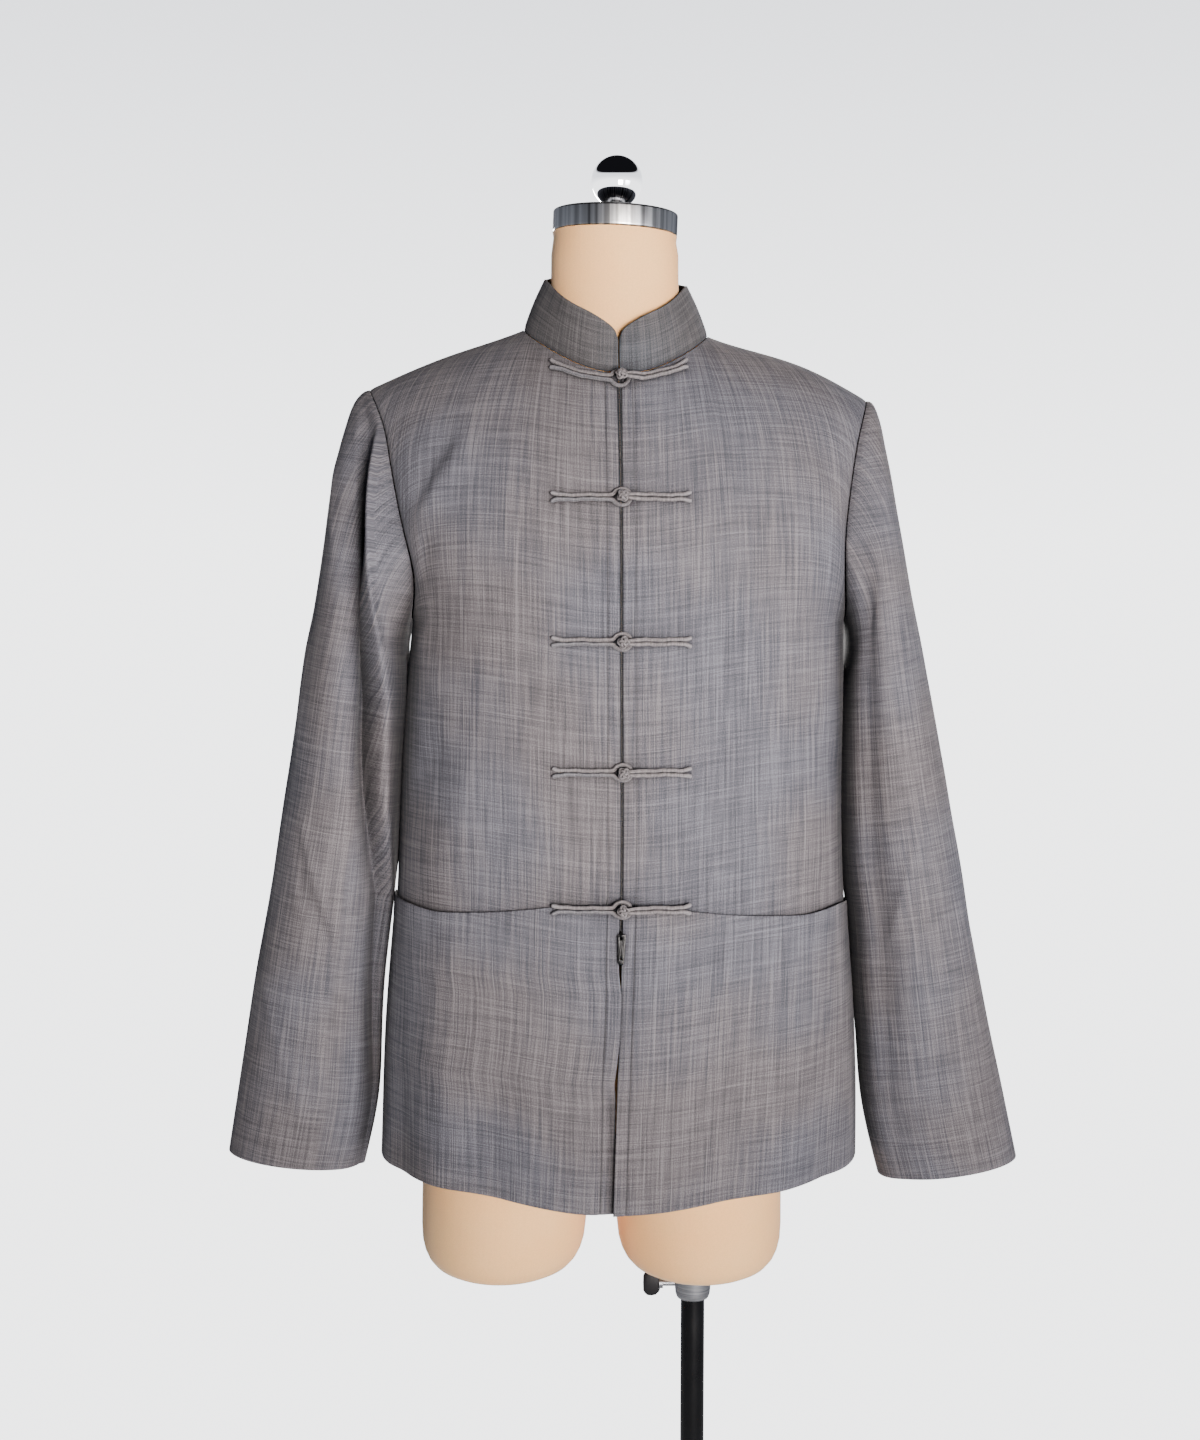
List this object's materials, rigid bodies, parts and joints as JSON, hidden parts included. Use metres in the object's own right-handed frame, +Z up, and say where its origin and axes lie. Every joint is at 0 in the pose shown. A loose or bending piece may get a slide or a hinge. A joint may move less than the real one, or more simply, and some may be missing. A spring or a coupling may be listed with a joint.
{
  "type": "tang jacket on dress form",
  "caption": "Tang jacket with stand collar, frog closures, zip and patch pockets, worn by a covered limbless dress form with neck cap, ball knob, pole and round base.",
  "frame": {"origin": "middle of the base plate's underside, on the floor", "axes": "+Z up, -Y out of the jacket's front, +X towards the wearer's left; the pole stands at x 68.2 mm"},
  "size_m": [0.7225, 0.4, 1.6567],
  "materials": {
    "suiting": "matte",
    "cord": "matte",
    "zip_tape": "matte",
    "zip_metal": "satin",
    "cover": "matte",
    "cap_steel": "satin",
    "ball_chrome": "gloss",
    "socket_metal": "satin",
    "clamp_black": "satin",
    "pole_black": "satin",
    "base_black": "satin"
  },
  "bodies": {
    "base": {"base_plate": "base_black"},
    "pole": {"pole": "pole_black"},
    "form": {"form_torso": "cover", "neck_cap": "cap_steel", "cap_ball": "ball_chrome", "pole_socket": "socket_metal", "front_right": "suiting", "front_left": "suiting", "back": "suiting", "sleeve_right": "suiting", "sleeve_left": "suiting", "collar": "suiting", "pocket_right": "suiting", "pocket_left": "suiting", "zip_tape_right": "zip_tape", "zip_tape_left": "zip_tape", "zip_slider": "zip_metal", "frog_loop_1": "cord", "frog_knot_1": "cord", "frog_loop_2": "cord", "frog_knot_2": "cord", "frog_loop_3": "cord", "frog_knot_3": "cord", "frog_loop_4": "cord", "frog_knot_4": "cord", "frog_loop_5": "cord", "frog_knot_5": "cord"},
    "screw": {"clamp_screw": "clamp_black"},
    "pull": {"zip_pull": "zip_metal"}
  },
  "joints": [
    {"name": "swivel", "type": "hinge", "parent": "base", "child": "pole", "pos_m": [0.0682, 0, 0.02], "axis": [0, 0, 1], "continuous": true},
    {"name": "height", "type": "slide", "parent": "pole", "child": "form", "axis": [0, 0, 1], "range_m": [-0.15, 0.12]},
    {"name": "clamp_turn", "type": "hinge", "parent": "form", "child": "screw", "pos_m": [0.03, 0, 0.633], "axis": [1, 0, 0], "continuous": true},
    {"name": "pull_swing", "type": "hinge", "parent": "form", "child": "pull", "pos_m": [-0.00026, -0.12427, 0.9872], "axis": [-1, 0, 0], "range_deg": [0, 105]}
  ]
}
